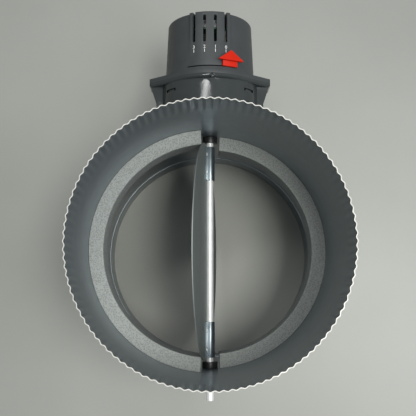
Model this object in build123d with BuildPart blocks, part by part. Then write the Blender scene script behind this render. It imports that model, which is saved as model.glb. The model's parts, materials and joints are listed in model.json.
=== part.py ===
# Motorized round damper: a crimped duct sleeve, a butterfly blade on a through shaft
# and a geared actuator with an adjustable limit pointer.
# Millimetres. The origin is the centre of the plain end, +Z runs along the duct and
# +Y along the shaft towards the actuator. The blade is drawn open, as it stands at rest.
from build123d import *
from math import acos, cos, degrees, pi, radians, sin, sqrt, tan
import os

os.makedirs("parts", exist_ok=True)

# Duct sleeve
duct_outer_r = 101.6
sheet = 0.7
duct_length = 254.0
shaft_height = 127.0
crimp_waves = 108
crimp_depth = 1.0
crimp_length = 37.0
bead_height = 31.5
bead_width = 6.4
bead_proud = 2.0
seam_angle = -31.0
seam_width = 12.0
seam_stop = 2.0

# Blade, shaft and clips
shaft_r = 3.175
shaft_free_end = 26.4
blade_edge_gap = 6.9
blade_t = 0.8
blade_lean = 6.0
clip_t = 1.0
clip_reach = 7.2
clip_length = 30.0
clip_edge_gap = 2.5
rivet_r = 1.0
rivet_head_r = 1.4
rivet_head_h = 0.7
rivet_inset = 7.0
end_chamfer = 0.6
ring_t = 0.8
ring_r = 6.2
ring_mouth = 4.4
groove_depth = 0.4

# Foam gaskets
gasket_t = 12.2
gasket_width = 25.2
gasket_slant = 0.6
seal_gap = 0.3
end_gap = 0.4
glue_gap = 0.1

# Bushings
bushing_hub_r = 6.6
bushing_hub_t = 5.5
bushing_barrel_r = 5.0
bushing_flange_r = 9.0
bushing_flange_t = 2.3
running_gap = 0.05
seat_gap = 0.1

# Actuator shells
flange_ear = 13.8
flange_rim = 0.75
ear_half_z = 10.0
base_flange_t = 3.5
cover_flange_t = 3.5
flange_stand = 42.4
flange_chamfer = 1.2
neck_ear = 3.5
neck_inset = 2.5
neck_wall = 3.5
base_floor = 6.4
floor_hole_r = 12.0
ledge = 1.7
window_inset = 6.0
window_width = 8.0
window_height = 2.5
window_drop = 5.5
notch_x = 2.0
notch_width = 2.0
notch_depth = 1.2
wing_foot_reach = 4.0
wing_waist_reach = 4.2
wing_waist_drop = 15.0
wing_half_z = 9.0
wing_overlap = 6.0
foot_t = 3.2
foot_half_z = 11.0
foot_inner_angle = 22.0
foot_outer_angle = 38.5
foot_screw_angle = 33.0
screw_r = 1.9
screw_head_r = 4.0
screw_head_h = 2.4
can_base_r = 39.5
can_taper = 2.2
can_length = 51.0
can_end_fillet = 2.5
cover_wall = 2.2
ring_step = 0.65
ring_step_h = 2.2
panel_drop = 0.4
panel_half_angle = 26.5
panel_start = 9.0
panel_end_fillet = 1.2
vent_width = 2.6
vent_length = 24.0
vent_end = 3.0
vent_pitch_angle = 13.65
vent_inset = 3.8
hook_t = 1.7
hook_gap = 0.25
hook_width = 5.6
hook_length = 11.8
barb_height = 1.9
barb_reach = 2.2

# Limit pointer
pointer_angle = 24.5
pointer_travel = 48.0
slot_y = 3.0
slot_height = 1.0
slot_fit = 0.1
neck_half_angle = 5.0
slot_end_angle = 1.0
pedestal_width = 13.6
pedestal_length = 5.4
pedestal_t = 1.6
pointer_lift = 0.45
head_overlap = 0.8
head_width = 24.0
head_length = 8.8
head_t = 2.6
head_round = 0.4
carriage_t = 2.0
carriage_half_angle = 9.0
carriage_length = 6.4
carriage_gap = 0.3

# Gear train and electrics
gear_module = 1.0
gear_teeth = 32
pinion_teeth = 16
pressure_angle = 20.0
addendum = 0.85
dedendum = 1.15
backlash = 0.25
gear_face = 6.0
pinion_extra = 0.5
gear_drop = 17.5
hub_r = 7.0
hub_play = 0.5
cam_r = 11.0
cam_lobe_r = 19.5
cam_lobe_width = 5.0
cam_t = 4.5
cam_drop = 7.5
set_screw_r = 1.5
set_screw_rise = 9.5
plate_t = 2.0
plate_gap = 0.2
motor_gap = 1.1
motor_x = -8.0
motor_length = 40.5
motor_edge = 1.5
spindle_r = 3.0
spindle_seat = 6.0
motor_screw_z = 18.0
motor_screw_r = 1.45
motor_screw_head_r = 2.8
motor_screw_head_h = 1.8
motor_screw_length = 6.0
switch_x = 28.0
switch_width = 10.0
switch_length = 20.0
switch_height = 6.4
plunger_r = 1.2
plunger_gap = 0.6
board_edge_gap = 4.1
board_t = 1.6
board_space = 1.2
pillar_r = 2.4
pillar_inset = 2.5
pillar_angle = 59.0
block_width = 15.2
block_depth = 8.0
block_height = 8.0
block_inset = 4.0
block_ways = 3
block_hole_r = 1.4
grommet_drop = 17.0
grommet_hole_r = 5.0
grommet_flange_r = 7.4
grommet_flange_t = 2.0
grommet_bore_r = 2.8

# Sizes that follow from the ones above
duct_inner_r = duct_outer_r - sheet
crimp_start = duct_length - crimp_length
blade_r = duct_inner_r - blade_edge_gap
lean = radians(blade_lean)
clip_start = blade_r - clip_edge_gap - clip_length
clip_inner_r = shaft_r + running_gap
clip_outer_r = clip_inner_r + clip_t
rivet_offset = (clip_outer_r + clip_reach) / 2
gasket_outer_r = duct_inner_r - glue_gap
gasket_inner_r = gasket_outer_r - gasket_t
upper_gasket_z = shaft_height + shaft_r + blade_t + seal_gap
lower_gasket_z = shaft_height + shaft_r - seal_gap - gasket_width
clip_swing_r = sqrt(clip_reach**2 + shaft_r**2)
lower_gasket_end = clip_swing_r + end_gap
blade_reach_at_top = (upper_gasket_z + gasket_width - shaft_height) * tan(lean)
upper_gasket_end = (shaft_r + blade_t) / cos(lean) + blade_reach_at_top + end_gap
hub_seat_y = sqrt(duct_inner_r**2 - bushing_hub_r**2) - glue_gap
bushing_outer_y = duct_outer_r + seat_gap + bushing_flange_t
bearing_r = shaft_r + running_gap
ring_y = bushing_outer_y + hub_play
hub_start_y = bushing_outer_y + hub_play
can_end_r = can_base_r - can_taper
ring_step_r = can_base_r + ring_step
panel_r = can_base_r - panel_drop
vent_depth_r = can_end_r - vent_inset
flange_half_x = can_base_r + flange_ear
flange_half_z = can_base_r + flange_rim
neck_half_x = can_base_r + neck_ear
neck_half_z = can_base_r - neck_inset
window_x = can_base_r - window_inset
flange_y = duct_outer_r + flange_stand
base_top_y = flange_y + base_flange_t
cover_top_y = base_top_y + cover_flange_t
can_end_y = cover_top_y + can_length
plate_y = base_top_y - plate_t
floor_y = duct_outer_r + base_floor
cavity_half_x = neck_half_x - neck_wall
cavity_half_z = neck_half_z - neck_wall
hook_half_x = cavity_half_x - hook_gap
hook_half_z = cavity_half_z - hook_gap
hook_back_x = hook_half_x - hook_t
hook_back_z = hook_half_z - hook_t
hook_low_z = hook_back_z * sqrt(1 - ((window_x + hook_width / 2) / hook_back_x) ** 2)
foot_inner_r = duct_outer_r + seat_gap
foot_outer_r = foot_inner_r + foot_t
can_slope = (can_end_r - can_base_r) / can_length
pointer_slot_y = cover_top_y + slot_y
slot_half = slot_height / 2
pointer_base_r = can_base_r + pointer_lift
head_base_r = pointer_base_r + pedestal_t
carriage_end_y = pointer_slot_y - slot_half + carriage_length
carriage_r = can_base_r + can_slope * (carriage_end_y - cover_top_y) - cover_wall - carriage_gap
centre_distance = gear_module * (gear_teeth + pinion_teeth) / 2
gear_y = plate_y - gear_drop
gear_end_y = gear_y + gear_face
cam_y = plate_y - cam_drop
set_screw_y = hub_start_y + set_screw_rise
hub_end_y = plate_y - hub_play
motor_y = base_top_y
motor_r = can_end_r - cover_wall - motor_gap - abs(motor_x)
board_y = motor_y + motor_length + board_space
board_r = can_end_r - cover_wall - board_edge_gap
pillar_ring_r = board_r - pillar_inset
switch_face_x = switch_x - switch_width / 2

shaft_axis = Axis((0, 0, shaft_height), (0, 1, 0))


def station(y, x=0):
    """Plane across the shaft at y that faces the duct: local x is X, local y is Z."""
    return Plane(origin=(x, y, shaft_height), x_dir=(1, 0, 0), z_dir=(0, -1, 0))


def radial_plane(angle):
    """Half plane through the shaft axis, angle from +Z to +X: local x is radius, local y is Y."""
    a = radians(angle)
    return Plane(origin=(0, 0, shaft_height), x_dir=(sin(a), 0, cos(a)), z_dir=(-cos(a), 0, sin(a)))


def tangent_plane(angle, radius):
    """Plane that faces away from the shaft axis at that angle and radius: local y is Y."""
    a = radians(angle)
    origin = (radius * sin(a), 0, shaft_height + radius * cos(a))
    return Plane(origin=origin, x_dir=(cos(a), 0, -sin(a)), z_dir=(sin(a), 0, cos(a)))


def duct_plane(angle):
    """Half plane through the duct axis, angle from +X to +Y: local x is radius, local y is Z."""
    a = radians(angle)
    return Plane(origin=(0, 0, 0), x_dir=(cos(a), sin(a), 0), z_dir=(sin(a), -cos(a), 0))


def foot_plane(side):
    """Plane on the duct axis that faces the mounting foot of that side."""
    a = radians(foot_screw_angle)
    return Plane(origin=(0, 0, shaft_height), x_dir=(0, 0, 1), z_dir=(side * sin(a), cos(a), 0))


def clip_plane(y):
    """Plane across the shaft at y: local x lies along the blade, local y points to the blade."""
    return Plane(origin=(0, y, shaft_height), x_dir=(sin(lean), 0, -cos(lean)), z_dir=(0, 1, 0))


# The blade lies on the -X side of the shaft and its top leans away from the shaft.
blade_plane = Plane(origin=(0, 0, shaft_height), x_dir=(0, 1, 0), z_dir=(-cos(lean), 0, -sin(lean)))


def polar(radius, angle):
    return (radius * cos(angle), radius * sin(angle))


# Duct sleeve: plain tube with a bead, crimped end, lap seam and its holes
def crimp_edges(radius, depth, z):
    """One edge for each half wave, from a crest on the radius to a trough or back."""
    step = pi / crimp_waves

    def spot(k, r):
        return Vector(r * cos(k * step), r * sin(k * step), z)

    edges = []
    for k in range(2 * crimp_waves):
        start = spot(k, radius - depth * (k % 2))
        end = spot(k + 1, radius - depth * ((k + 1) % 2))
        middle = spot(k + 0.5, radius)
        straight = Edge.make_line(start, end)
        edges.append(straight if depth else Edge.make_three_point_arc(start, middle, end))
    return edges


def wall_profile(inner_r, outer_r, top):
    """Section of a wall from the plain end up to top, with the bead pressed outwards."""
    inner_half = bead_width / 2 - duct_outer_r + inner_r
    outer_half = bead_width / 2 - duct_outer_r + outer_r
    Line((inner_r, 0), (outer_r, 0))
    Line((outer_r, 0), (outer_r, bead_height - outer_half))
    ThreePointArc(
        (outer_r, bead_height - outer_half),
        (outer_r + bead_proud, bead_height),
        (outer_r, bead_height + outer_half),
    )
    Line((outer_r, bead_height + outer_half), (outer_r, top))
    Line((outer_r, top), (inner_r, top))
    Line((inner_r, top), (inner_r, bead_height + inner_half))
    ThreePointArc(
        (inner_r, bead_height + inner_half),
        (inner_r + bead_proud, bead_height),
        (inner_r, bead_height - inner_half),
    )
    Line((inner_r, bead_height - inner_half), (inner_r, 0))


with BuildPart() as duct_sleeve:
    # The root circle is drawn edge by edge, so that it stays divided as the rim is.
    for wall_r, wall_mode in ((duct_outer_r, Mode.ADD), (duct_inner_r, Mode.SUBTRACT)):
        crimp_root = Face(Wire(crimp_edges(wall_r, 0, crimp_start)))
        crimp_rim = Face(Wire(crimp_edges(wall_r, crimp_depth, duct_length)))
        loft([crimp_root, crimp_rim], ruled=True, mode=wall_mode)
    with BuildSketch(duct_plane(0)):
        with BuildLine():
            wall_profile(duct_inner_r, duct_outer_r, crimp_start)
        make_face()
    revolve(axis=Axis.Z)
    seam_span = degrees(seam_width / duct_outer_r)
    with BuildSketch(duct_plane(seam_angle - seam_span / 2)):
        with BuildLine():
            wall_profile(duct_outer_r - sheet / 2, duct_outer_r + sheet, crimp_start - seam_stop)
        make_face()
    revolve(axis=Axis.Z, revolution_arc=seam_span)
    with BuildSketch(station(0)):
        Circle(bushing_barrel_r + running_gap)
    extrude(amount=2 * duct_outer_r, both=True, mode=Mode.SUBTRACT)
    for side in (-1, 1):
        with BuildSketch(foot_plane(side)):
            Circle(screw_r + running_gap)
        extrude(amount=foot_outer_r, mode=Mode.SUBTRACT)
duct_sleeve.part.label = "duct_sleeve"
export_step(duct_sleeve.part, "parts/duct_sleeve.step")


# Foam gaskets: half rings whose slanted ends leave room for the blade and its clips
def gasket_outline(side, end_x):
    outer_x = end_x + gasket_slant
    inner_y = sqrt(gasket_inner_r**2 - end_x**2)
    outer_y = sqrt(gasket_outer_r**2 - outer_x**2)
    ThreePointArc((side * outer_x, outer_y), (side * gasket_outer_r, 0), (side * outer_x, -outer_y))
    Line((side * outer_x, -outer_y), (side * end_x, -inner_y))
    ThreePointArc((side * end_x, -inner_y), (side * gasket_inner_r, 0), (side * end_x, inner_y))
    Line((side * end_x, inner_y), (side * outer_x, outer_y))


with BuildPart() as upper_stop_gasket:
    with BuildSketch(Plane.XY.offset(upper_gasket_z)):
        with BuildLine():
            gasket_outline(-1, upper_gasket_end)
        make_face()
    extrude(amount=gasket_width)
upper_stop_gasket.part.label = "upper_stop_gasket"
export_step(upper_stop_gasket.part, "parts/upper_stop_gasket.step")

with BuildPart() as lower_stop_gasket:
    with BuildSketch(Plane.XY.offset(lower_gasket_z)):
        with BuildLine():
            gasket_outline(1, lower_gasket_end)
        make_face()
    extrude(amount=gasket_width)
lower_stop_gasket.part.label = "lower_stop_gasket"
export_step(lower_stop_gasket.part, "parts/lower_stop_gasket.step")


# Bushings: hub inside the duct, barrel through the wall, flange outside
def bushing_profile(side):
    hub_face_y = hub_seat_y - bushing_hub_t
    barrel_end_y = duct_outer_r + seat_gap
    corners = [
        (bearing_r, hub_face_y),
        (bushing_hub_r, hub_face_y),
        (bushing_hub_r, hub_seat_y),
        (bushing_barrel_r, hub_seat_y),
        (bushing_barrel_r, barrel_end_y),
        (bushing_flange_r, barrel_end_y),
        (bushing_flange_r, bushing_outer_y),
        (bearing_r, bushing_outer_y),
    ]
    Polyline(*[(r, side * y) for r, y in corners], close=True)


with BuildPart() as drive_bushing:
    with BuildSketch(Plane.XY.offset(shaft_height)):
        with BuildLine():
            bushing_profile(1)
        make_face()
    revolve(axis=shaft_axis)
drive_bushing.part.label = "drive_bushing"
export_step(drive_bushing.part, "parts/drive_bushing.step")

with BuildPart() as idle_bushing:
    with BuildSketch(Plane.XY.offset(shaft_height)):
        with BuildLine():
            bushing_profile(-1)
        make_face()
    revolve(axis=shaft_axis)
idle_bushing.part.label = "idle_bushing"
export_step(idle_bushing.part, "parts/idle_bushing.step")

# Shaft: chamfered rod with a groove for the retaining ring
with BuildPart() as damper_shaft:
    shaft_start_y = -duct_outer_r - shaft_free_end
    shaft_end_y = hub_end_y - hub_play
    groove_r = shaft_r - groove_depth
    with BuildSketch(Plane.XY.offset(shaft_height)):
        with BuildLine():
            Polyline(
                (0, shaft_start_y),
                (shaft_r - end_chamfer, shaft_start_y),
                (shaft_r, shaft_start_y + end_chamfer),
                (shaft_r, -ring_y - ring_t - running_gap),
                (groove_r, -ring_y - ring_t - running_gap),
                (groove_r, -ring_y + running_gap),
                (shaft_r, -ring_y + running_gap),
                (shaft_r, shaft_end_y - end_chamfer),
                (shaft_r - end_chamfer, shaft_end_y),
                (0, shaft_end_y),
                close=True,
            )
        make_face()
    revolve(axis=shaft_axis)
damper_shaft.part.label = "damper_shaft"
export_step(damper_shaft.part, "parts/damper_shaft.step")

with BuildPart() as retaining_ring:
    with BuildSketch(station(-ring_y)):
        Circle(ring_r)
        Circle(groove_r + running_gap, mode=Mode.SUBTRACT)
        with Locations((0, -ring_r)):
            Rectangle(ring_mouth, 2 * ring_r, mode=Mode.SUBTRACT)
    extrude(amount=ring_t)
retaining_ring.part.label = "retaining_ring"
export_step(retaining_ring.part, "parts/retaining_ring.step")

# Blade and what fastens it: omega clips over the shaft, riveted through the blade
rivet_stations = [clip_start + rivet_inset, clip_start + clip_length - rivet_inset]
rivet_points = [(s * y, p * rivet_offset) for s in (-1, 1) for y in rivet_stations for p in (-1, 1)]

with BuildPart() as blade_disc:
    with BuildSketch(blade_plane.offset(shaft_r)):
        Circle(blade_r)
        with Locations(*rivet_points):
            Circle(rivet_r + running_gap, mode=Mode.SUBTRACT)
    extrude(amount=blade_t)
blade_disc.part.label = "blade_disc"
export_step(blade_disc.part, "parts/blade_disc.step")


def clip_outline():
    """Flanges on the blade face, legs beside the shaft and a round saddle over it."""
    under = shaft_r - clip_t
    Line((clip_reach, shaft_r), (clip_reach, under))
    Line((clip_reach, under), (clip_outer_r, under))
    Line((clip_outer_r, under), (clip_outer_r, 0))
    ThreePointArc((clip_outer_r, 0), (0, -clip_outer_r), (-clip_outer_r, 0))
    Line((-clip_outer_r, 0), (-clip_outer_r, under))
    Line((-clip_outer_r, under), (-clip_reach, under))
    Line((-clip_reach, under), (-clip_reach, shaft_r))
    Line((-clip_reach, shaft_r), (-clip_inner_r, shaft_r))
    Line((-clip_inner_r, shaft_r), (-clip_inner_r, 0))
    ThreePointArc((-clip_inner_r, 0), (0, -clip_inner_r), (clip_inner_r, 0))
    Line((clip_inner_r, 0), (clip_inner_r, shaft_r))
    Line((clip_inner_r, shaft_r), (clip_reach, shaft_r))


with BuildPart() as drive_side_clip:
    with BuildSketch(clip_plane(clip_start)):
        with BuildLine():
            clip_outline()
        make_face()
    extrude(amount=clip_length)
    with BuildSketch(blade_plane):
        with Locations(*rivet_points):
            Circle(rivet_r + running_gap)
    extrude(amount=shaft_r, mode=Mode.SUBTRACT)
drive_side_clip.part.label = "drive_side_clip"
export_step(drive_side_clip.part, "parts/drive_side_clip.step")

with BuildPart() as idle_side_clip:
    with BuildSketch(clip_plane(-clip_start - clip_length)):
        with BuildLine():
            clip_outline()
        make_face()
    extrude(amount=clip_length)
    with BuildSketch(blade_plane):
        with Locations(*rivet_points):
            Circle(rivet_r + running_gap)
    extrude(amount=shaft_r, mode=Mode.SUBTRACT)
idle_side_clip.part.label = "idle_side_clip"
export_step(idle_side_clip.part, "parts/idle_side_clip.step")

with BuildPart() as clip_rivets:
    clip_face = shaft_r - clip_t
    blade_face = shaft_r + blade_t
    for from_q, to_q, r in (
        (clip_face - rivet_head_h, clip_face, rivet_head_r),
        (clip_face, blade_face, rivet_r),
        (blade_face, blade_face + rivet_head_h, rivet_head_r),
    ):
        with BuildSketch(blade_plane.offset(from_q)):
            with Locations(*rivet_points):
                Circle(r)
        extrude(amount=to_q - from_q)
clip_rivets.part.label = "clip_rivets"
export_step(clip_rivets.part, "parts/clip_rivets.step")

# Actuator base: eared flange, neck that saddles the duct, and two wings ending in screwed feet
def flange_outline():
    """Edge of both flanges: round about the can, with straight flanks out to the two ears."""
    Circle(flange_half_z)
    Rectangle(2 * flange_half_x, 2 * ear_half_z)
    make_hull()


with BuildPart() as actuator_base:
    with BuildSketch(station(base_top_y)):
        flange_outline()
    extrude(amount=base_flange_t)
    chamfer(actuator_base.faces().sort_by(Axis.Y)[0].edges(), flange_chamfer)
    with BuildSketch(station(flange_y)):
        Ellipse(neck_half_x, neck_half_z)
    extrude(amount=flange_y - duct_outer_r / 2)
    wing_top_x = flange_half_x - flange_chamfer
    for side in (-1, 1):
        with BuildSketch(Plane.XY.offset(shaft_height - wing_half_z)):
            with BuildLine():
                Polyline(
                    (side * (neck_half_x - wing_overlap), flange_y),
                    (side * wing_top_x, flange_y),
                    (side * (neck_half_x + wing_waist_reach), flange_y - wing_waist_drop),
                    (side * (neck_half_x + wing_foot_reach), duct_outer_r / 2),
                    (side * (neck_half_x - wing_overlap), duct_outer_r / 2),
                    close=True,
                )
            make_face()
        extrude(amount=2 * wing_half_z)
        with BuildSketch(Plane.XY.offset(shaft_height - foot_half_z)):
            with BuildLine():
                foot_span = foot_outer_angle - foot_inner_angle
                foot_from = 90 - foot_outer_angle if side > 0 else 90 + foot_inner_angle
                outer_foot = CenterArc((0, 0), foot_outer_r, foot_from, foot_span)
                inner_foot = CenterArc((0, 0), foot_inner_r, foot_from, foot_span)
                Line(outer_foot @ 0, inner_foot @ 0)
                Line(outer_foot @ 1, inner_foot @ 1)
            make_face()
        extrude(amount=2 * foot_half_z)
    with BuildSketch():
        Circle(foot_inner_r)
    extrude(amount=duct_length, mode=Mode.SUBTRACT)
    with BuildSketch(station(plate_y)):
        Ellipse(cavity_half_x, cavity_half_z)
    extrude(amount=plate_y - floor_y, mode=Mode.SUBTRACT)
    with BuildSketch(station(base_top_y)):
        Ellipse(cavity_half_x + ledge, cavity_half_z + ledge)
    extrude(amount=plate_t, mode=Mode.SUBTRACT)
    with BuildSketch(station(floor_y)):
        Circle(floor_hole_r)
    extrude(amount=duct_outer_r, mode=Mode.SUBTRACT)
    with BuildSketch(Plane.XY.offset(shaft_height)):
        with Locations(
            (-window_x, flange_y - window_drop - window_height / 2),
            (window_x, flange_y - window_drop - window_height / 2),
        ):
            Rectangle(window_width, window_height)
    extrude(amount=neck_half_z, both=True, mode=Mode.SUBTRACT)
    with BuildSketch(station(base_top_y)):
        with Locations((notch_x, flange_half_z)):
            Rectangle(notch_width, 2 * notch_depth)
    extrude(amount=base_flange_t, mode=Mode.SUBTRACT)
    for side in (-1, 1):
        with BuildSketch(foot_plane(side)):
            Circle(screw_r + running_gap)
        extrude(amount=2 * foot_outer_r, mode=Mode.SUBTRACT)
actuator_base.part.label = "actuator_base"
export_step(actuator_base.part, "parts/actuator_base.step")

# Short pan-head screws that end level with the inside of the duct
with BuildPart() as base_screws:
    for side in (-1, 1):
        with BuildSketch(foot_plane(side).offset(duct_inner_r + glue_gap)):
            Circle(screw_r)
        extrude(amount=foot_outer_r + seat_gap - duct_inner_r - glue_gap)
        with BuildSketch(foot_plane(side).offset(foot_outer_r + seat_gap)):
            Circle(screw_head_r)
        extrude(amount=screw_head_h, taper=15)
base_screws.part.label = "base_screws"
export_step(base_screws.part, "parts/base_screws.step")

# Actuator cover: oval flange, tapered can, raised vent panel, pointer slot and snap hooks
with BuildPart() as actuator_cover:
    with BuildSketch(station(cover_top_y)):
        flange_outline()
    extrude(amount=cover_flange_t)
    with BuildSketch(radial_plane(0)) as can_profile:
        with BuildLine():
            Polyline(
                (0, cover_top_y),
                (can_base_r, cover_top_y),
                (can_end_r, can_end_y),
                (0, can_end_y),
                close=True,
            )
        make_face()
        fillet(can_profile.vertices().group_by(Axis.Y)[-1].sort_by(Axis.X)[-1], can_end_fillet)
    revolve(axis=shaft_axis)
    with BuildSketch(station(cover_top_y + ring_step_h)):
        Circle(ring_step_r)
    extrude(amount=ring_step_h)
    with BuildSketch(radial_plane(-panel_half_angle)) as panel_profile:
        with BuildLine():
            Polyline(
                (vent_depth_r, cover_top_y + panel_start),
                (panel_r, cover_top_y + panel_start),
                (panel_r, can_end_y),
                (vent_depth_r, can_end_y),
                close=True,
            )
        make_face()
        fillet(panel_profile.vertices().group_by(Axis.Y)[-1].sort_by(Axis.X)[-1], panel_end_fillet)
    revolve(axis=shaft_axis, revolution_arc=2 * panel_half_angle)
    with BuildSketch(radial_plane(0)):
        with BuildLine():
            Polyline(
                (0, base_top_y),
                (can_base_r - cover_wall, base_top_y),
                (can_base_r - cover_wall, cover_top_y),
                (can_end_r - cover_wall, can_end_y - cover_wall),
                (0, can_end_y - cover_wall),
                close=True,
            )
        make_face()
    revolve(axis=shaft_axis, mode=Mode.SUBTRACT)
    vent_y = can_end_y - vent_end - vent_length / 2
    for step in (-0.5, 0.5):
        with BuildSketch(tangent_plane(step * vent_pitch_angle, vent_depth_r)):
            with Locations((0, vent_y)):
                SlotOverall(vent_length, vent_width, rotation=90)
        extrude(amount=can_base_r - vent_depth_r + cover_wall, mode=Mode.SUBTRACT)
    for step in (-1.5, 1.5):
        with BuildSketch(tangent_plane(step * vent_pitch_angle, vent_depth_r)):
            with Locations((0, vent_y + vent_length / 2)):
                SlotOverall(2 * vent_length, vent_width, rotation=90)
        extrude(amount=can_base_r - vent_depth_r + cover_wall, mode=Mode.SUBTRACT)
    slot_half_angle = neck_half_angle + slot_end_angle
    with BuildSketch(radial_plane(pointer_angle - pointer_travel - slot_half_angle)):
        with Locations(((can_base_r + can_end_r - cover_wall) / 2, pointer_slot_y)):
            Rectangle(can_base_r - can_end_r + 3 * cover_wall, slot_height)
    revolve(axis=shaft_axis, revolution_arc=pointer_travel + 2 * slot_half_angle, mode=Mode.SUBTRACT)
    with BuildSketch(tangent_plane(180, 0)):
        with Locations((0, can_end_y - grommet_drop)):
            Circle(grommet_hole_r + running_gap)
    extrude(amount=can_base_r, mode=Mode.SUBTRACT)
    with BuildSketch(station(base_top_y)):
        with GridLocations(2 * window_x, 2 * cavity_half_z, 2, 2):
            Rectangle(hook_width, 2 * cavity_half_z)
        Ellipse(hook_half_x, hook_half_z, mode=Mode.INTERSECT)
        Ellipse(hook_back_x, hook_back_z, mode=Mode.SUBTRACT)
    extrude(amount=hook_length)
    barb_y = flange_y - window_drop - (window_height - barb_height) / 2
    with BuildSketch(station(barb_y)):
        with GridLocations(2 * window_x, 2 * cavity_half_z, 2, 2):
            Rectangle(hook_width, 2 * cavity_half_z)
        Ellipse(hook_half_x + barb_reach, hook_half_z + barb_reach, mode=Mode.INTERSECT)
        Ellipse(hook_back_x, hook_back_z, mode=Mode.SUBTRACT)
    extrude(amount=barb_height)
actuator_cover.part.label = "actuator_cover"
export_step(actuator_cover.part, "parts/actuator_cover.step")

# Limit pointer: arrow head on a pedestal, with a neck through the slot in the cover
with BuildPart() as limit_pointer:
    neck_width = 2 * carriage_r * sin(radians(neck_half_angle))
    neck_height = slot_height - 2 * slot_fit
    pedestal_y = pointer_slot_y - neck_height / 2
    with BuildSketch(tangent_plane(pointer_angle, carriage_r + running_gap)):
        with Locations((0, pointer_slot_y)):
            Rectangle(neck_width, neck_height)
    extrude(amount=pointer_base_r - carriage_r - running_gap)
    with BuildSketch(tangent_plane(pointer_angle, pointer_base_r)):
        with Locations((0, pedestal_y)):
            Rectangle(pedestal_width, pedestal_length, align=(Align.CENTER, Align.MIN))
    extrude(amount=pedestal_t)
    head_y = pedestal_y + pedestal_length - head_overlap
    with BuildSketch(tangent_plane(pointer_angle, head_base_r)) as head_face:
        with BuildLine():
            Polyline(
                (-head_width / 2, head_y),
                (head_width / 2, head_y),
                (0, head_y + head_length),
                close=True,
            )
        make_face()
        fillet(head_face.vertices(), head_round)
    extrude(amount=head_t)
limit_pointer.part.label = "limit_pointer"
export_step(limit_pointer.part, "parts/limit_pointer.step")

with BuildPart() as pointer_carriage:
    with BuildSketch(radial_plane(pointer_angle - carriage_half_angle)):
        with Locations((carriage_r, pointer_slot_y - slot_half)):
            Rectangle(carriage_t, carriage_length, align=(Align.MAX, Align.MIN))
    revolve(axis=shaft_axis, revolution_arc=2 * carriage_half_angle)
pointer_carriage.part.label = "pointer_carriage"
export_step(pointer_carriage.part, "parts/pointer_carriage.step")


# Gears: involute flanks drawn as arcs through the root, pitch and tip circles
def involute(angle):
    return tan(angle) - angle


def gear_outline(teeth, turn):
    pitch_r = gear_module * teeth / 2
    base_r = pitch_r * cos(radians(pressure_angle))
    root_r = pitch_r - dedendum * gear_module
    tip_r = pitch_r + addendum * gear_module
    pitch_half = (pi * gear_module - backlash) / (4 * pitch_r)

    def flank(radius):
        roll = acos(min(1, base_r / radius))
        return pitch_half + involute(radians(pressure_angle)) - involute(roll)

    tooth_step = 2 * pi / teeth
    for k in range(teeth):
        a = turn + k * tooth_step
        rise = [polar(r, a - flank(r)) for r in (root_r, pitch_r, tip_r)]
        fall = [polar(r, a + flank(r)) for r in (tip_r, pitch_r, root_r)]
        ThreePointArc(*rise)
        Line(rise[-1], fall[0])
        ThreePointArc(*fall)
        Line(fall[-1], polar(root_r, a + tooth_step - flank(root_r)))


with BuildPart() as output_gear:
    with BuildSketch(station(gear_end_y)):
        with BuildLine():
            gear_outline(gear_teeth, 0)
        make_face()
    extrude(amount=gear_face)
    with BuildSketch(station(hub_end_y)):
        Circle(hub_r)
    extrude(amount=hub_end_y - hub_start_y)
    with BuildSketch(station(cam_y + cam_t)):
        Circle(cam_r)
        with Locations(Location((0, 0), blade_lean)):
            with Locations((0, cam_lobe_r / 2)):
                Rectangle(cam_lobe_width, cam_lobe_r)
    extrude(amount=cam_t)
    with BuildSketch(station(hub_end_y)):
        Circle(shaft_r + running_gap)
    extrude(amount=hub_end_y - hub_start_y, mode=Mode.SUBTRACT)
    with BuildSketch(tangent_plane(0, 0)):
        with Locations((0, set_screw_y)):
            Circle(set_screw_r + running_gap)
    extrude(amount=hub_r, mode=Mode.SUBTRACT)
output_gear.part.label = "output_gear"
export_step(output_gear.part, "parts/output_gear.step")

with BuildPart() as gear_set_screw:
    with BuildSketch(tangent_plane(0, shaft_r + running_gap)):
        with Locations((0, set_screw_y)):
            Circle(set_screw_r)
    extrude(amount=hub_r - shaft_r - running_gap)
gear_set_screw.part.label = "gear_set_screw"
export_step(gear_set_screw.part, "parts/gear_set_screw.step")

# The pinion meets the output gear on its -X side, a gap facing the gear's tooth.
with BuildPart() as drive_pinion:
    with BuildSketch(station(gear_end_y + pinion_extra, -centre_distance)):
        with BuildLine():
            gear_outline(pinion_teeth, pi / pinion_teeth)
        make_face()
    extrude(amount=gear_face + 2 * pinion_extra)
    with BuildSketch(station(motor_y + spindle_seat - hub_play)):
        with Locations((-centre_distance, 0)):
            Circle(spindle_r)
    extrude(amount=motor_y + spindle_seat - hub_play - gear_end_y)
drive_pinion.part.label = "drive_pinion"
export_step(drive_pinion.part, "parts/drive_pinion.step")

# Gear plate: trapped between the ledge of the base and the flange of the cover
pillar_points = [polar(pillar_ring_r, radians(a)) for a in (-pillar_angle, 0, pillar_angle)]
motor_screw_points = [(motor_x, motor_screw_z), (motor_x, -motor_screw_z)]

with BuildPart() as gear_plate:
    with BuildSketch(station(base_top_y)):
        Ellipse(cavity_half_x + ledge - plate_gap, cavity_half_z + ledge - plate_gap)
        with GridLocations(2 * window_x, 2 * cavity_half_z, 2, 2):
            notch_length = 2 * (cavity_half_z - hook_low_z + plate_gap)
            Rectangle(hook_width + 2 * plate_gap, notch_length, mode=Mode.SUBTRACT)
        with Locations((-centre_distance, 0)):
            Circle(spindle_r + running_gap, mode=Mode.SUBTRACT)
        with Locations(*motor_screw_points):
            Circle(motor_screw_r + running_gap, mode=Mode.SUBTRACT)
    extrude(amount=plate_t)
gear_plate.part.label = "gear_plate"
export_step(gear_plate.part, "parts/gear_plate.step")

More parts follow.
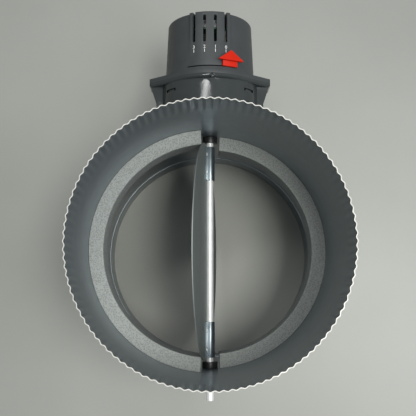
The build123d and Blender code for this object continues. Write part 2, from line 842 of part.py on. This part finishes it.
# Sealed geared motor with the seat of the pinion spindle
with BuildPart() as gear_motor:
    with BuildSketch(station(motor_y + motor_length)):
        with Locations((motor_x, 0)):
            Circle(motor_r)
    extrude(amount=motor_length)
    fillet(gear_motor.edges().filter_by(GeomType.CIRCLE).sort_by(Axis.Y)[-1], motor_edge)
    with BuildSketch(station(motor_y + spindle_seat)):
        with Locations((-centre_distance, 0)):
            Circle(spindle_r + running_gap)
    extrude(amount=spindle_seat, mode=Mode.SUBTRACT)
    with BuildSketch(station(motor_y + motor_screw_length)):
        with Locations(*motor_screw_points):
            Circle(motor_screw_r + running_gap)
    extrude(amount=motor_screw_length, mode=Mode.SUBTRACT)
gear_motor.part.label = "gear_motor"
export_step(gear_motor.part, "parts/gear_motor.step")

with BuildPart() as motor_screws:
    with BuildSketch(station(motor_y + motor_screw_length - hub_play)):
        with Locations(*motor_screw_points):
            Circle(motor_screw_r)
    extrude(amount=motor_screw_length - hub_play + plate_t)
    with BuildSketch(station(plate_y)):
        with Locations(*motor_screw_points):
            Circle(motor_screw_head_r)
    extrude(amount=motor_screw_head_h)
motor_screws.part.label = "motor_screws"
export_step(motor_screws.part, "parts/motor_screws.step")

# End switch under the gear plate: the cam lobe reaches its plunger when the blade is shut
with BuildPart() as limit_switch:
    with BuildSketch(station(plate_y)):
        with Locations((switch_x, 0)):
            Rectangle(switch_width, switch_length)
    extrude(amount=switch_height)
    with BuildSketch(Plane.YZ.offset(cam_lobe_r + plunger_gap)):
        with Locations((cam_y + cam_t / 2, shaft_height)):
            Circle(plunger_r)
    extrude(amount=switch_face_x - cam_lobe_r - plunger_gap)
limit_switch.part.label = "limit_switch"
export_step(limit_switch.part, "parts/limit_switch.step")

# Control board behind the motor, on pillars that stand on the gear plate
with BuildPart() as board_pillars:
    with BuildSketch(station(board_y)):
        with Locations(*pillar_points):
            Circle(pillar_r)
    extrude(amount=board_y - motor_y)
board_pillars.part.label = "board_pillars"
export_step(board_pillars.part, "parts/board_pillars.step")

with BuildPart() as control_board:
    with BuildSketch(station(board_y + board_t)):
        Circle(board_r)
    extrude(amount=board_t)
control_board.part.label = "control_board"
export_step(control_board.part, "parts/control_board.step")

with BuildPart() as terminal_block:
    way_pitch = block_width / block_ways
    block_z = board_r - block_inset - block_depth / 2
    with BuildSketch(station(board_y + board_t + block_height)):
        with Locations((0, block_z)):
            Rectangle(block_width, block_depth)
    extrude(amount=block_height)
    with BuildSketch(station(board_y + board_t + block_height)):
        with Locations((0, block_z)):
            with GridLocations(way_pitch, 0, block_ways, 1):
                Circle(block_hole_r)
    extrude(amount=block_height / 2, mode=Mode.SUBTRACT)
terminal_block.part.label = "terminal_block"
export_step(terminal_block.part, "parts/terminal_block.step")

# Rubber grommet in the underside of the cover
with BuildPart() as cable_grommet:
    grommet_y = can_end_y - grommet_drop
    wall_r = can_base_r + can_slope * (grommet_y - cover_top_y)
    inner_r = wall_r - cover_wall
    rise = -can_slope * grommet_flange_r
    inner_wall = sqrt(inner_r**2 - grommet_flange_r**2) - rise - seat_gap
    outer_wall = wall_r + rise + seat_gap
    with BuildSketch(Plane.YZ):
        with BuildLine():
            corners = [
                (grommet_bore_r, inner_wall - grommet_flange_t),
                (grommet_flange_r, inner_wall - grommet_flange_t),
                (grommet_flange_r, inner_wall),
                (grommet_hole_r, inner_wall),
                (grommet_hole_r, outer_wall),
                (grommet_flange_r, outer_wall),
                (grommet_flange_r - grommet_flange_t / 2, outer_wall + grommet_flange_t),
                (grommet_bore_r, outer_wall + grommet_flange_t),
            ]
            Polyline(*[(grommet_y + r, shaft_height - q) for r, q in corners], close=True)
        make_face()
    revolve(axis=Axis((0, grommet_y, 0), (0, 0, 1)))
cable_grommet.part.label = "cable_grommet"
export_step(cable_grommet.part, "parts/cable_grommet.step")
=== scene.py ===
import json
from math import asin, ceil, cos, hypot, pi, radians, sin, tau

import bmesh
import bpy
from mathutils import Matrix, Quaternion, Vector, noise

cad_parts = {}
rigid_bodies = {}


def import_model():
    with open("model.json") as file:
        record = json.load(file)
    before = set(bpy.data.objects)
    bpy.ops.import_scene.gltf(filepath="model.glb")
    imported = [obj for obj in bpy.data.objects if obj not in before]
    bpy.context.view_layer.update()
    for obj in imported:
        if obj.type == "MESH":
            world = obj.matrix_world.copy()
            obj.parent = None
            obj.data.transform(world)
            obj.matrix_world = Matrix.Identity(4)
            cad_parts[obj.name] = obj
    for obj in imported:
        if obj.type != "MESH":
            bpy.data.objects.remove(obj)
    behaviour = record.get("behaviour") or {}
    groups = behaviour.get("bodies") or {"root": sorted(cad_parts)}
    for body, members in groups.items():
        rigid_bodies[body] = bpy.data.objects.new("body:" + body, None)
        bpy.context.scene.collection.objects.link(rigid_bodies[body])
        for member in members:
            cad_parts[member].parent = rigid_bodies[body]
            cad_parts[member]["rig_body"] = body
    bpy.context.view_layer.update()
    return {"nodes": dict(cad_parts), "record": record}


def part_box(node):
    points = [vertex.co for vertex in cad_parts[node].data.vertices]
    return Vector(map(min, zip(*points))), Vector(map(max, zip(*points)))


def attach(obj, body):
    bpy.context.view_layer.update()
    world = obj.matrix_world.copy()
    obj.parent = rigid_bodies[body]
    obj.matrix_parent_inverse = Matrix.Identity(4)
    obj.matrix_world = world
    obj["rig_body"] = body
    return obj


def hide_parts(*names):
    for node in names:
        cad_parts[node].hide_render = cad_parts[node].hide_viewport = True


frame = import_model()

nodes = frame["nodes"]
MM = 0.001

# Camera, from a perspective fit to a picture of 416 by 416 pixels, with its tilt in radians
PICTURE_PIXELS = 416
FOCAL_PIXELS = 664
SENSOR = 36.0
CAMERA_PLACE = Vector((-1.64, -29.95, 708.12)) * MM
CAMERA_TILT = 0.1155
CLIP_START = 0.01

# Lamps as (name, place, size, watts, colour), in metres
LAMPS = (
    ("key", (0.85, -0.25, 1.45), (0.6, 0.6), 7.5, (0.94, 0.97, 1.0)),
    ("overhead", (0.33, -0.10, 1.75), (0.5, 0.3), 10.5, (1.0, 1.0, 0.95)),
    ("window", (-0.2, 0.58, 1.6), (0.55, 0.1), 3.6, (1.0, 1.0, 1.0)),
)

# Sky: its lean in degrees, and its colours as (height on the dome, colour)
SKY_LEAN = 30.0
SKY_LOW = (0.25, (0.31, 0.32, 0.315, 1))
SKY_HIGH = (0.95, (0.52, 0.54, 0.55, 1))

# Floor, its size in metres
FLOOR_SIZE = 6
FLOOR_DARK = (0.345, 0.352, 0.322)
FLOOR_PALE = (0.385, 0.388, 0.36)

# Sleeve, as in the part's source, in millimetres and degrees
DUCT_R = 101.6
SHEET_T = 0.7
DUCT_LENGTH = 254.0
SHAFT_HEIGHT = 127.0
CRIMP_WAVES = 108
CRIMP_DEPTH = 1.0
CRIMP_LENGTH = 37.0
BEAD_HEIGHT = 31.5
BEAD_WIDTH = 6.4
BEAD_PROUD = 2.0
SEAM_ANGLE = -31.0
SEAM_WIDTH = 12.0
SEAM_STOP = 2.0
BEARING_HOLE_R = 5.05
SCREW_HOLE_R = 1.95
SCREW_ANGLE = 33.0
SCREW_HEAD_R = 4.0

SHAFT_CENTRE = Vector((0, 0, SHAFT_HEIGHT))
CRIMP_START = DUCT_LENGTH - CRIMP_LENGTH
SEAM_TOP = CRIMP_START - SEAM_STOP

# Mesh of the sleeve: steps round a wave, over the bead and up the crimp, and the height of the lap's end
WAVE_STEPS = 8
BEAD_STEPS = 10
CRIMP_STEPS = 10
SEAM_EDGE = 0.05

# Cross recess of the foot screws, with its turn in radians
RECESS_LENGTH = 4.4
RECESS_WIDTH = 0.9
RECESS_DEPTH = 1.1
RECESS_TURN = pi / 5

# Foam half rings: the slant of their ends, their roundings, and the grid and pits of their skin.
# FOAM_END gives the sections that round an end, as shares of the rounding: how far in from the end
# each one lies, and how far its corners draw in.
FOAM_SLANT = 0.6
FOAM_ROUND = 0.7
FOAM_GLUED_ROUND = 0.12
FOAM_ROUND_ANGLES = (0, 30, 60, 90)
FOAM_STEP = 1.6
FOAM_PITS = 0.22
PITS_PER_MM = 0.45
SWELLS_PER_MM = 0.05
FOAM_END = ((0.0, 0.9), (0.35, 0.35))

# Scale on the panel of the cover: marks as (figure, steps from the middle), and the print.
# FIGURE_SHARE is the height of a figure in the type, as a share of the type's size.
SCALE_MARKS = ((3, -1.5), (2, -0.5), (1, 0.5), (0, 1.5))
MARK_PITCH = 13.65
PANEL_R = 39.1
NUMERAL_Y = 169.5
NUMERAL_HEIGHT = 2.7
FIGURE_SHARE = 0.7
TICK_Y = 167.35
TICK_LENGTH = 2.8
TICK_WIDTH = 0.45
PRINT_T = 0.05

# Rounding of sharp edges by node: its size, the angle above which an edge is rounded, and the gap and
# the angle within which the mesh is joined first
EDGE_ROUND = {
    "actuator_base": 0.35,
    "actuator_cover": 0.35,
    "limit_pointer": 0.25,
    "drive_bushing": 0.3,
    "idle_bushing": 0.3,
    "drive_side_clip": 0.15,
    "idle_side_clip": 0.15,
    "base_screws": 0.25,
    "cable_grommet": 0.3,
}
ROUNDED_ABOVE = 32
WELD_GAP = 0.002
FLAT_WITHIN = 0.5

# Angles, in degrees, above which an edge is shaded sharp
NODE_SHARP = 30
SLEEVE_SHARP = 32
ROUNDED_SHARP = 40
FOAM_SHARP = 60


def shader_of(name, color, roughness, metallic=0.0):
    """New material with its colour, roughness and metal set on the shader."""
    made = bpy.data.materials.new(name)
    made.use_nodes = True
    shader = made.node_tree.nodes["Principled BSDF"]
    shader.inputs["Base Color"].default_value = (*color, 1)
    shader.inputs["Roughness"].default_value = roughness
    shader.inputs["Metallic"].default_value = metallic
    return made, made.node_tree, shader


def texture(tree, kind, scale, stretch=(1, 1, 1), **settings):
    """Texture node on object coordinates, with scale in features per metre."""
    place = tree.nodes.new("ShaderNodeTexCoord")
    mapping = tree.nodes.new("ShaderNodeMapping")
    mapping.inputs["Scale"].default_value = stretch
    made = tree.nodes.new(kind)
    made.inputs["Scale"].default_value = scale
    for key, value in settings.items():
        made.inputs[key].default_value = value
    tree.links.new(place.outputs["Object"], mapping.inputs["Vector"])
    tree.links.new(mapping.outputs["Vector"], made.inputs["Vector"])
    return made


def vary(tree, source, target, low, high, start=0.3, end=0.7):
    """Drives a socket between two values, or two colours, by a texture's output."""
    ramp = tree.nodes.new("ShaderNodeValToRGB")
    for stop, place, value in zip(ramp.color_ramp.elements, (start, end), (low, high)):
        stop.position = place
        stop.color = (*value, 1) if isinstance(value, tuple) else (value, value, value, 1)
    tree.links.new(source, ramp.inputs["Fac"])
    tree.links.new(ramp.outputs["Color"], target)


def relief(tree, shader, source, strength, depth_mm):
    """Fine bumps from a texture's output."""
    bump = tree.nodes.new("ShaderNodeBump")
    bump.inputs["Strength"].default_value = strength
    bump.inputs["Distance"].default_value = depth_mm * MM
    tree.links.new(source, bump.inputs["Height"])
    tree.links.new(bump.outputs["Normal"], shader.inputs["Normal"])


def tint(color, factor):
    """Colour made lighter or darker."""
    return tuple(min(1.0, c * factor) for c in color)


def sheet_metal(name, color, roughness, metallic, gloss=0.0, grazing=1.0):
    """Zinc coated sheet: soft spangles, faint rolling marks and as much of a glossy skin as gloss says."""
    made, tree, shader = shader_of(name, color, roughness, metallic)
    shader.inputs["Specular Tint"].default_value = (grazing, grazing, grazing, 1)
    shader.inputs["Coat Weight"].default_value = gloss
    shader.inputs["Coat Roughness"].default_value = 0.18
    grains = texture(tree, "ShaderNodeTexVoronoi", scale=150)
    vary(tree, grains.outputs["Color"], shader.inputs["Base Color"],
         tint(color, 0.95), tint(color, 1.05), start=0.0, end=1.0)
    cloud = texture(tree, "ShaderNodeTexNoise", scale=75, Detail=4.0)
    vary(tree, cloud.outputs["Fac"], shader.inputs["Roughness"], roughness * 0.97, roughness * 1.03)
    marks = texture(tree, "ShaderNodeTexNoise", scale=900, stretch=(1, 1, 0.05), Detail=2.0)
    relief(tree, shader, marks.outputs["Fac"], strength=0.05, depth_mm=0.02)
    return made


def turned_steel(name, color, roughness, along=(1, 0.03, 1), metallic=1.0):
    """Drawn or plated steel: fine lines along one direction and a few duller patches."""
    made, tree, shader = shader_of(name, color, roughness, metallic)
    lines = texture(tree, "ShaderNodeTexNoise", scale=2600, stretch=along, Detail=2.0)
    relief(tree, shader, lines.outputs["Fac"], strength=0.03, depth_mm=0.01)
    cloud = texture(tree, "ShaderNodeTexNoise", scale=130, Detail=5.0)
    vary(tree, cloud.outputs["Fac"], shader.inputs["Roughness"], roughness * 0.85, roughness * 1.25)
    vary(tree, cloud.outputs["Fac"], shader.inputs["Base Color"], tint(color, 0.94), tint(color, 1.04))
    return made


def moulded(name, color, roughness, grain=1500, strength=0.12, shine=0.5):
    """Moulded plastic: fine erosion grain, uneven gloss and slight clouding."""
    made, tree, shader = shader_of(name, color, roughness)
    shader.inputs["Specular IOR Level"].default_value = shine
    fine = texture(tree, "ShaderNodeTexNoise", scale=grain, Detail=3.0)
    relief(tree, shader, fine.outputs["Fac"], strength, depth_mm=0.06)
    cloud = texture(tree, "ShaderNodeTexNoise", scale=90, Detail=4.0)
    vary(tree, cloud.outputs["Fac"], shader.inputs["Roughness"], roughness * 0.88, roughness * 1.14)
    vary(tree, cloud.outputs["Fac"], shader.inputs["Base Color"], tint(color, 0.93), tint(color, 1.07))
    return made


def open_cell_foam(name, color, roughness):
    """Foam strip: pale cell walls, with painted shade darkening the pores between them."""
    made, tree, shader = shader_of(name, color, roughness)
    shader.inputs["Specular IOR Level"].default_value = 0.15
    cells = texture(tree, "ShaderNodeTexVoronoi", scale=820, Randomness=1.0)
    # Painted shade: the pores are coloured darker than the cell walls, standing in for the shade inside
    # them.
    vary(tree, cells.outputs["Distance"], shader.inputs["Base Color"],
         tint(color, 0.72), tint(color, 1.16), start=0.12, end=0.62)
    relief(tree, shader, cells.outputs["Distance"], strength=0.55, depth_mm=0.4)
    return made


def circuit_board(name, color, roughness):
    """Solder mask with paler tracks under it."""
    made, tree, shader = shader_of(name, color, roughness)
    tracks = texture(tree, "ShaderNodeTexBrick", scale=110)
    vary(tree, tracks.outputs["Fac"], shader.inputs["Base Color"],
         color, tint(color, 1.7), start=0.4, end=0.6)
    return made


# Materials as (maker, colour, roughness, further settings)
ALL_WAYS = (1, 1, 1)
FINISHES = {
    "galvanized_sheet": (sheet_metal, (0.262, 0.302, 0.332), 0.38, dict(metallic=0.70, gloss=0.22)),
    # cut_edge: bare steel at the sheet's cut; its pale matt tone is partly a painted highlight of the
    # light the rim catches
    "cut_edge": (turned_steel, (0.60, 0.595, 0.56), 0.5, dict(along=ALL_WAYS, metallic=0.4)),
    "blade_sheet": (sheet_metal, (0.32, 0.355, 0.34), 0.52, dict(metallic=0.6, grazing=0.4)),
    "gasket_foam": (open_cell_foam, (0.345, 0.36, 0.345), 0.95, {}),
    "bright_steel": (turned_steel, (0.96, 0.97, 0.96), 0.40, dict(metallic=0.35)),
    "zinc_clip": (turned_steel, (0.22, 0.26, 0.28), 0.31, dict(metallic=0.9)),
    "zinc_screw": (turned_steel, (0.62, 0.62, 0.60), 0.25, dict(along=ALL_WAYS)),
    "black_nylon": (moulded, (0.016, 0.016, 0.017), 0.38, {}),
    "charcoal_gloss": (moulded, (0.039, 0.045, 0.046), 0.13, dict(grain=900, strength=0.008, shine=0.4)),
    "charcoal_satin": (moulded, (0.050, 0.055, 0.058), 0.45, dict(strength=0.10, shine=0.4)),
    "pointer_red": (moulded, (0.64, 0.017, 0.003), 0.42, dict(grain=1200, strength=0.04, shine=0.2)),
    "gear_nylon": (moulded, (0.70, 0.68, 0.62), 0.45, {}),
    "gear_steel": (turned_steel, (0.60, 0.60, 0.60), 0.28, {}),
    "motor_steel": (turned_steel, (0.05, 0.05, 0.052), 0.35, {}),
    "board_green": (circuit_board, (0.02, 0.12, 0.05), 0.4, {}),
    "terminal_plastic": (moulded, (0.70, 0.71, 0.70), 0.4, {}),
    "grommet_rubber": (moulded, (0.02, 0.02, 0.02), 0.7, {}),
    "scale_print": (moulded, (0.86, 0.86, 0.84), 0.55, {}),
}
MATERIALS = {
    name: make(name, color, roughness, **settings)
    for name, (make, color, roughness, settings) in FINISHES.items()
}


# Meshes and objects
def linked(name, data):
    """Object of that data, in the scene."""
    made = bpy.data.objects.new(name, data)
    bpy.context.scene.collection.objects.link(made)
    return made


def mesh_of(name, shape):
    """Mesh of a bmesh, which is used up."""
    mesh = bpy.data.meshes.new(name)
    shape.to_mesh(mesh)
    shape.free()
    return mesh


def mesh_object(name, points, faces, *materials):
    """Object from points in millimetres, smooth shaded."""
    mesh = bpy.data.meshes.new(name)
    mesh.from_pydata([Vector(p) * MM for p in points], [], faces)
    mesh.validate()
    mesh.shade_smooth()
    for material in materials:
        mesh.materials.append(MATERIALS[material])
    return linked(name, mesh)


def set_material(mesh, material):
    """Gives a mesh one material."""
    mesh.materials.clear()
    mesh.materials.append(MATERIALS[material])


def sharpen(obj, degrees):
    """Smooth shading with sharp edges above an angle."""
    obj.data.shade_smooth()
    obj.data.set_sharp_from_angle(angle=radians(degrees))


def aim(obj, place, direction, spin=0.0):
    """Puts an object at a place in metres, with its Z along a direction."""
    obj.location = place
    obj.rotation_mode = "QUATERNION"
    obj.rotation_quaternion = Vector(direction).to_track_quat("Z", "Y") @ Quaternion((0, 0, 1), spin)


def block(sizes):
    """Bmesh box about the origin."""
    made = bmesh.new()
    bmesh.ops.create_cube(made, size=1.0)
    bmesh.ops.scale(made, vec=sizes, verts=made.verts)
    return made


def bar(centre, direction, spin, sizes):
    """Square cutter about a centre, its last size along a direction."""
    cutter = linked("bar", mesh_of("bar", block(Vector(sizes) * MM)))
    aim(cutter, Vector(centre) * MM, direction, spin)
    return cutter


def rod(centre, direction, radius, length, sides=32):
    """Round cutter about a centre, along a direction."""
    made = bmesh.new()
    bmesh.ops.create_cone(made, cap_ends=True, segments=sides, radius1=radius * MM,
                          radius2=radius * MM, depth=length * MM)
    cutter = linked("rod", mesh_of("rod", made))
    aim(cutter, Vector(centre) * MM, direction)
    return cutter


def cut(obj, *cutters):
    """Takes the cutters out of the object and throws them away."""
    for cutter in cutters:
        modifier = obj.modifiers.new("cut", "BOOLEAN")
        modifier.object = cutter
        modifier.solver = "EXACT"
    graph = bpy.context.evaluated_depsgraph_get()
    obj.data = bpy.data.meshes.new_from_object(obj.evaluated_get(graph))
    obj.modifiers.clear()
    for cutter in cutters:
        bpy.data.objects.remove(cutter)


def body_of(node):
    """Body that a CAD node rides on."""
    return nodes[node]["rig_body"]


def rounded(node, edge_mm, material):
    """Copy of a CAD node with its sharp edges rounded, which stands for that node."""
    shape = bmesh.new()
    shape.from_mesh(nodes[node].data)
    bmesh.ops.remove_doubles(shape, verts=shape.verts, dist=WELD_GAP * MM)
    bmesh.ops.dissolve_limit(shape, angle_limit=radians(FLAT_WITHIN), verts=shape.verts, edges=shape.edges)
    edges = [e for e in shape.edges if e.is_manifold and e.calc_face_angle() > radians(ROUNDED_ABOVE)]
    bmesh.ops.bevel(shape, geom=edges, offset=edge_mm * MM, segments=2, profile=0.6,
                    affect="EDGES", clamp_overlap=True)
    made = linked(node + "_shape", mesh_of(node + "_shape", shape))
    set_material(made.data, material)
    sharpen(made, ROUNDED_SHARP)
    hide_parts(node)
    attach(made, body_of(node))
    return made


# Sleeve: rows swept round the duct, outside up and inside down
def sleeve_rows():
    """Rows from the plain end to the crimped end, as (height, swell, crimp)."""
    rows = [(0.0, 0.0, 0.0)]
    for k in range(BEAD_STEPS + 1):
        turn = pi * k / BEAD_STEPS
        rows.append((BEAD_HEIGHT - BEAD_WIDTH / 2 * cos(turn), BEAD_PROUD * sin(turn), 0.0))
    rows += [(SEAM_TOP, 0.0, 0.0), (SEAM_TOP + SEAM_EDGE, 0.0, 0.0)]
    for k in range(CRIMP_STEPS + 1):
        rise = k / CRIMP_STEPS
        rows.append((CRIMP_START + CRIMP_LENGTH * rise, 0.0, CRIMP_DEPTH * rise))
    return rows


def screw_way(side):
    """Direction from the duct axis to the foot screw on that side."""
    turn = radians(SCREW_ANGLE)
    return Vector((side * sin(turn), cos(turn), 0))


def crimped_sleeve():
    """Sheet sleeve with its bead, lap seam, crimp and holes, and a cut edge at both ends whose pale tone
    is partly bare steel and partly painted highlight.
    """
    columns = CRIMP_WAVES * WAVE_STEPS
    rows = sleeve_rows()
    seam_half = SEAM_WIDTH / DUCT_R / 2
    profile = [(*row, 0) for row in rows] + [(*row, SHEET_T) for row in reversed(rows)]
    points = []
    for z, swell, crimp, depth in profile:
        for c in range(columns):
            turn = tau * c / columns
            off_seam = abs((turn - radians(SEAM_ANGLE) + pi) % tau - pi)
            lap = SHEET_T if depth == 0 and z <= SEAM_TOP and off_seam < seam_half else 0
            flute = crimp * (1 - cos(CRIMP_WAVES * turn)) / 2
            r = DUCT_R + swell + lap - flute - depth
            points.append((r * cos(turn), r * sin(turn), z))
    faces = []
    edge_faces = []
    for row in range(len(profile)):
        below, above = row * columns, (row + 1) % len(profile) * columns
        if row in (len(rows) - 1, len(profile) - 1):
            edge_faces += range(len(faces), len(faces) + columns)
        for c in range(columns):
            d = (c + 1) % columns
            faces.append((below + c, below + d, above + d, above + c))
    sleeve = mesh_object("crimped_sleeve", points, faces, "galvanized_sheet", "cut_edge")
    # The end faces take the cut_edge finish: bare steel, with a pale tone that is partly painted
    # highlight.
    for face in edge_faces:
        sleeve.data.polygons[face].material_index = 1
    through_both_walls, through_one_wall = 3 * DUCT_R, DUCT_R / 4
    holes = [rod(SHAFT_CENTRE, (0, 1, 0), BEARING_HOLE_R, through_both_walls)]
    for side in (-1, 1):
        way = screw_way(side)
        holes.append(rod(SHAFT_CENTRE + way * DUCT_R, way, SCREW_HOLE_R, through_one_wall, sides=16))
    cut(sleeve, *holes)
    sharpen(sleeve, SLEEVE_SHARP)
    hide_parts("duct_sleeve")
    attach(sleeve, "sleeve")


# Foam: half rings with rounded edges and a pitted skin, inside their solids
def ring_thickness(node, outer_r):
    """Radial thickness of a ring node, from its vertex nearest the duct axis."""
    return outer_r - min(hypot(v.co.x, v.co.y) for v in nodes[node].data.vertices) / MM


def foam_section(inner_r, outer_r, low_z, high_z, inset):
    """Closed outline of the strip's section as (radius, height), its corners drawn in by a share."""
    corners = ((outer_r, low_z, -90), (outer_r, high_z, 0), (inner_r, high_z, 90), (inner_r, low_z, 180))
    middle_r, middle_z = (inner_r + outer_r) / 2, (low_z + high_z) / 2
    arcs = []
    for r, z, start in corners:
        corner = FOAM_ROUND if r < middle_r else FOAM_GLUED_ROUND
        centre_r = r + (corner if r < middle_r else -corner)
        centre_z = z + (corner if z < middle_z else -corner)
        reach = corner * (1 - inset)
        arcs.append([
            (centre_r + reach * cos(radians(start + a)), centre_z + reach * sin(radians(start + a)))
            for a in FOAM_ROUND_ANGLES
        ])
    spans = (high_z - low_z, outer_r - inner_r) * 2
    outline = []
    for k, arc in enumerate(arcs):
        outline += arc
        start, end = arc[-1], arcs[(k + 1) % len(arcs)][0]
        steps = ceil((spans[k] - 2 * FOAM_ROUND) / FOAM_STEP)
        for s in range(1, steps):
            t = s / steps
            outline.append((start[0] + (end[0] - start[0]) * t, start[1] + (end[1] - start[1]) * t))
    return outline


def pitted(p, middle_r, middle_z):
    """Point of the skin, moved towards the middle of the strip by pits and slow swells."""
    pit = 0.5 + 0.5 * noise.noise(p * PITS_PER_MM)
    swell = 0.5 + 0.5 * noise.noise(p * SWELLS_PER_MM)
    radius = hypot(p.x, p.y)
    to_middle = middle_r - radius
    inward = Vector((p.x / radius * to_middle, p.y / radius * to_middle, middle_z - p.z))
    return p + inward.normalized() * FOAM_PITS * (pit + swell) / 2


def foam_half_ring(node):
    """Foam strip bent round the wall, between its two slanted ends at the shaft."""
    low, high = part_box(node)
    low, high = low / MM, high / MM
    side = 1 if high.x > -low.x else -1
    outer_r = max(high.x, -low.x)
    strip_t = ring_thickness(node, outer_r)
    inner_r = outer_r - strip_t
    inner_end = (outer_r**2 - high.y**2) ** 0.5 - FOAM_SLANT
    arc_steps = ceil(pi * outer_r / FOAM_STEP)
    stops = [(0.0, FOAM_ROUND * back, inset) for back, inset in FOAM_END]
    stops += [(k / arc_steps, FOAM_ROUND, 0.0) for k in range(arc_steps + 1)]
    stops += [(1.0, FOAM_ROUND * back, inset) for back, inset in reversed(FOAM_END)]
    points = []
    for share, back, inset in stops:
        for r, z in foam_section(inner_r, outer_r, low.z, high.z, inset):
            end_x = inner_end + FOAM_SLANT * (r - inner_r) / strip_t
            first = asin(end_x / r) + back / r
            angle = first + (pi - 2 * first) * share
            points.append(Vector((side * r * sin(angle), r * cos(angle), z)))
    ring = len(points) // len(stops)
    points = [pitted(p, (inner_r + outer_r) / 2, (low.z + high.z) / 2) for p in points]
    faces = []
    for row in range(len(stops) - 1):
        for c in range(ring):
            d = (c + 1) % ring
            faces.append((row * ring + c, row * ring + d, (row + 1) * ring + d, (row + 1) * ring + c))
    faces.append(tuple(range(ring)))
    faces.append(tuple(range(len(points) - ring, len(points))))
    foam = mesh_object(node + "_foam", points, faces, "gasket_foam")
    shape = bmesh.new()
    shape.from_mesh(foam.data)
    bmesh.ops.recalc_face_normals(shape, faces=shape.faces)
    shape.to_mesh(foam.data)
    shape.free()
    sharpen(foam, FOAM_SHARP)
    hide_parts(node)
    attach(foam, "sleeve")


# Printed scale on the panel, wrapped round the shaft axis
def wrap_on_panel(mesh, angle, y):
    """Bends flat print, drawn about its own origin, onto the panel at that angle and place on the axis."""
    for v in mesh.vertices:
        turn = radians(angle) + v.co.x / PANEL_R
        r = PANEL_R + v.co.z
        v.co = SHAFT_CENTRE * MM + Vector((r * sin(turn), y + v.co.y, r * cos(turn))) * MM


def print_piece(name, mesh, angle, y):
    """Piece of print on the panel."""
    piece = linked(name, mesh)
    wrap_on_panel(mesh, angle, y)
    set_material(mesh, "scale_print")
    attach(piece, "sleeve")


def scale_mark(figure, angle):
    """One figure of the scale, with its tick below it."""
    curve = bpy.data.curves.new("numeral", "FONT")
    curve.body = str(figure)
    curve.size = NUMERAL_HEIGHT / FIGURE_SHARE
    curve.align_x = "CENTER"
    curve.extrude = PRINT_T
    flat = linked("numeral", curve)
    graph = bpy.context.evaluated_depsgraph_get()
    graph.update()
    numeral = bpy.data.meshes.new_from_object(flat.evaluated_get(graph))
    bpy.data.objects.remove(flat)
    print_piece(f"scale_numeral_{figure}", numeral, angle, NUMERAL_Y)
    tick = mesh_of("tick", block((TICK_WIDTH, TICK_LENGTH, 2 * PRINT_T)))
    print_piece(f"scale_tick_{figure}", tick, angle, TICK_Y)


def cross_recess(screws):
    """Cross recess in the head of both foot screws, whose height comes from the box of the pair."""
    turn = radians(SCREW_ANGLE)
    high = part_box("base_screws")[1] / MM
    top_r = (high.x - SCREW_HEAD_R * cos(turn)) / sin(turn)
    sizes = (RECESS_LENGTH, RECESS_WIDTH, 2 * RECESS_DEPTH)
    bars = []
    for side in (-1, 1):
        way = screw_way(side)
        for spin in (RECESS_TURN, RECESS_TURN + pi / 2):
            bars.append(bar(SHAFT_CENTRE + way * top_r, way, spin, sizes))
    cut(screws, *bars)
    sharpen(screws, ROUNDED_SHARP)


# Floor, light and camera
def stage():
    """Plain pale floor with faint clouds."""
    bpy.ops.mesh.primitive_plane_add(size=FLOOR_SIZE)
    floor = bpy.context.object
    floor.name = "floor"
    made, tree, shader = shader_of("floor", FLOOR_DARK, roughness=0.5, metallic=0.2)
    cloud = texture(tree, "ShaderNodeTexNoise", scale=5, Detail=5.0)
    vary(tree, cloud.outputs["Fac"], shader.inputs["Base Color"], FLOOR_DARK, FLOOR_PALE)
    floor.data.materials.append(made)


def lamp(name, place, size, watts, color):
    """Area lamp aimed at the middle of the duct."""
    light = bpy.data.lights.new(name, "AREA")
    light.shape = "RECTANGLE"
    light.size, light.size_y = size
    light.energy = watts
    light.color = color
    aim(linked(name, light), place, Vector(place) - SHAFT_CENTRE * MM)


def sky():
    """Studio dome, brightest above on the right."""
    world = bpy.data.worlds.new("world")
    bpy.context.scene.world = world
    world.use_nodes = True
    tree = world.node_tree
    place = tree.nodes.new("ShaderNodeTexCoord")
    lean = tree.nodes.new("ShaderNodeMapping")
    lean.inputs["Rotation"].default_value = (0, radians(-SKY_LEAN), 0)
    split = tree.nodes.new("ShaderNodeSeparateXYZ")
    ramp = tree.nodes.new("ShaderNodeValToRGB")
    for stop, (height, color) in zip(ramp.color_ramp.elements, (SKY_LOW, SKY_HIGH)):
        stop.position = height
        stop.color = color
    tree.links.new(place.outputs["Generated"], lean.inputs["Vector"])
    tree.links.new(lean.outputs["Vector"], split.inputs["Vector"])
    tree.links.new(split.outputs["Z"], ramp.inputs["Fac"])
    tree.links.new(ramp.outputs["Color"], tree.nodes["Background"].inputs["Color"])
    tree.nodes["Background"].inputs["Strength"].default_value = 1.0


def camera():
    """Camera above the crimped end, at the viewing angle of the fit."""
    lens = bpy.data.cameras.new("camera")
    lens.sensor_width = SENSOR
    lens.lens = FOCAL_PIXELS / PICTURE_PIXELS * SENSOR
    lens.clip_start = CLIP_START
    made = linked("camera", lens)
    made.location = CAMERA_PLACE
    made.rotation_euler = (CAMERA_TILT, 0, 0)
    bpy.context.scene.camera = made


slots = {row["node"]: row["material_slot"] for row in frame["record"]["subparts"]}
gaskets = ("upper_stop_gasket", "lower_stop_gasket")
for node, obj in nodes.items():
    set_material(obj.data, slots[node])
    if node in EDGE_ROUND:
        shape = rounded(node, EDGE_ROUND[node], slots[node])
        if node == "base_screws":
            cross_recess(shape)
    elif node not in ("duct_sleeve", *gaskets):
        sharpen(obj, NODE_SHARP)

crimped_sleeve()
for gasket in gaskets:
    foam_half_ring(gasket)
for figure, steps in SCALE_MARKS:
    scale_mark(figure, steps * MARK_PITCH)

stage()
sky()
for row in LAMPS:
    lamp(*row)
camera()
bpy.context.scene.view_settings.view_transform = "Standard"
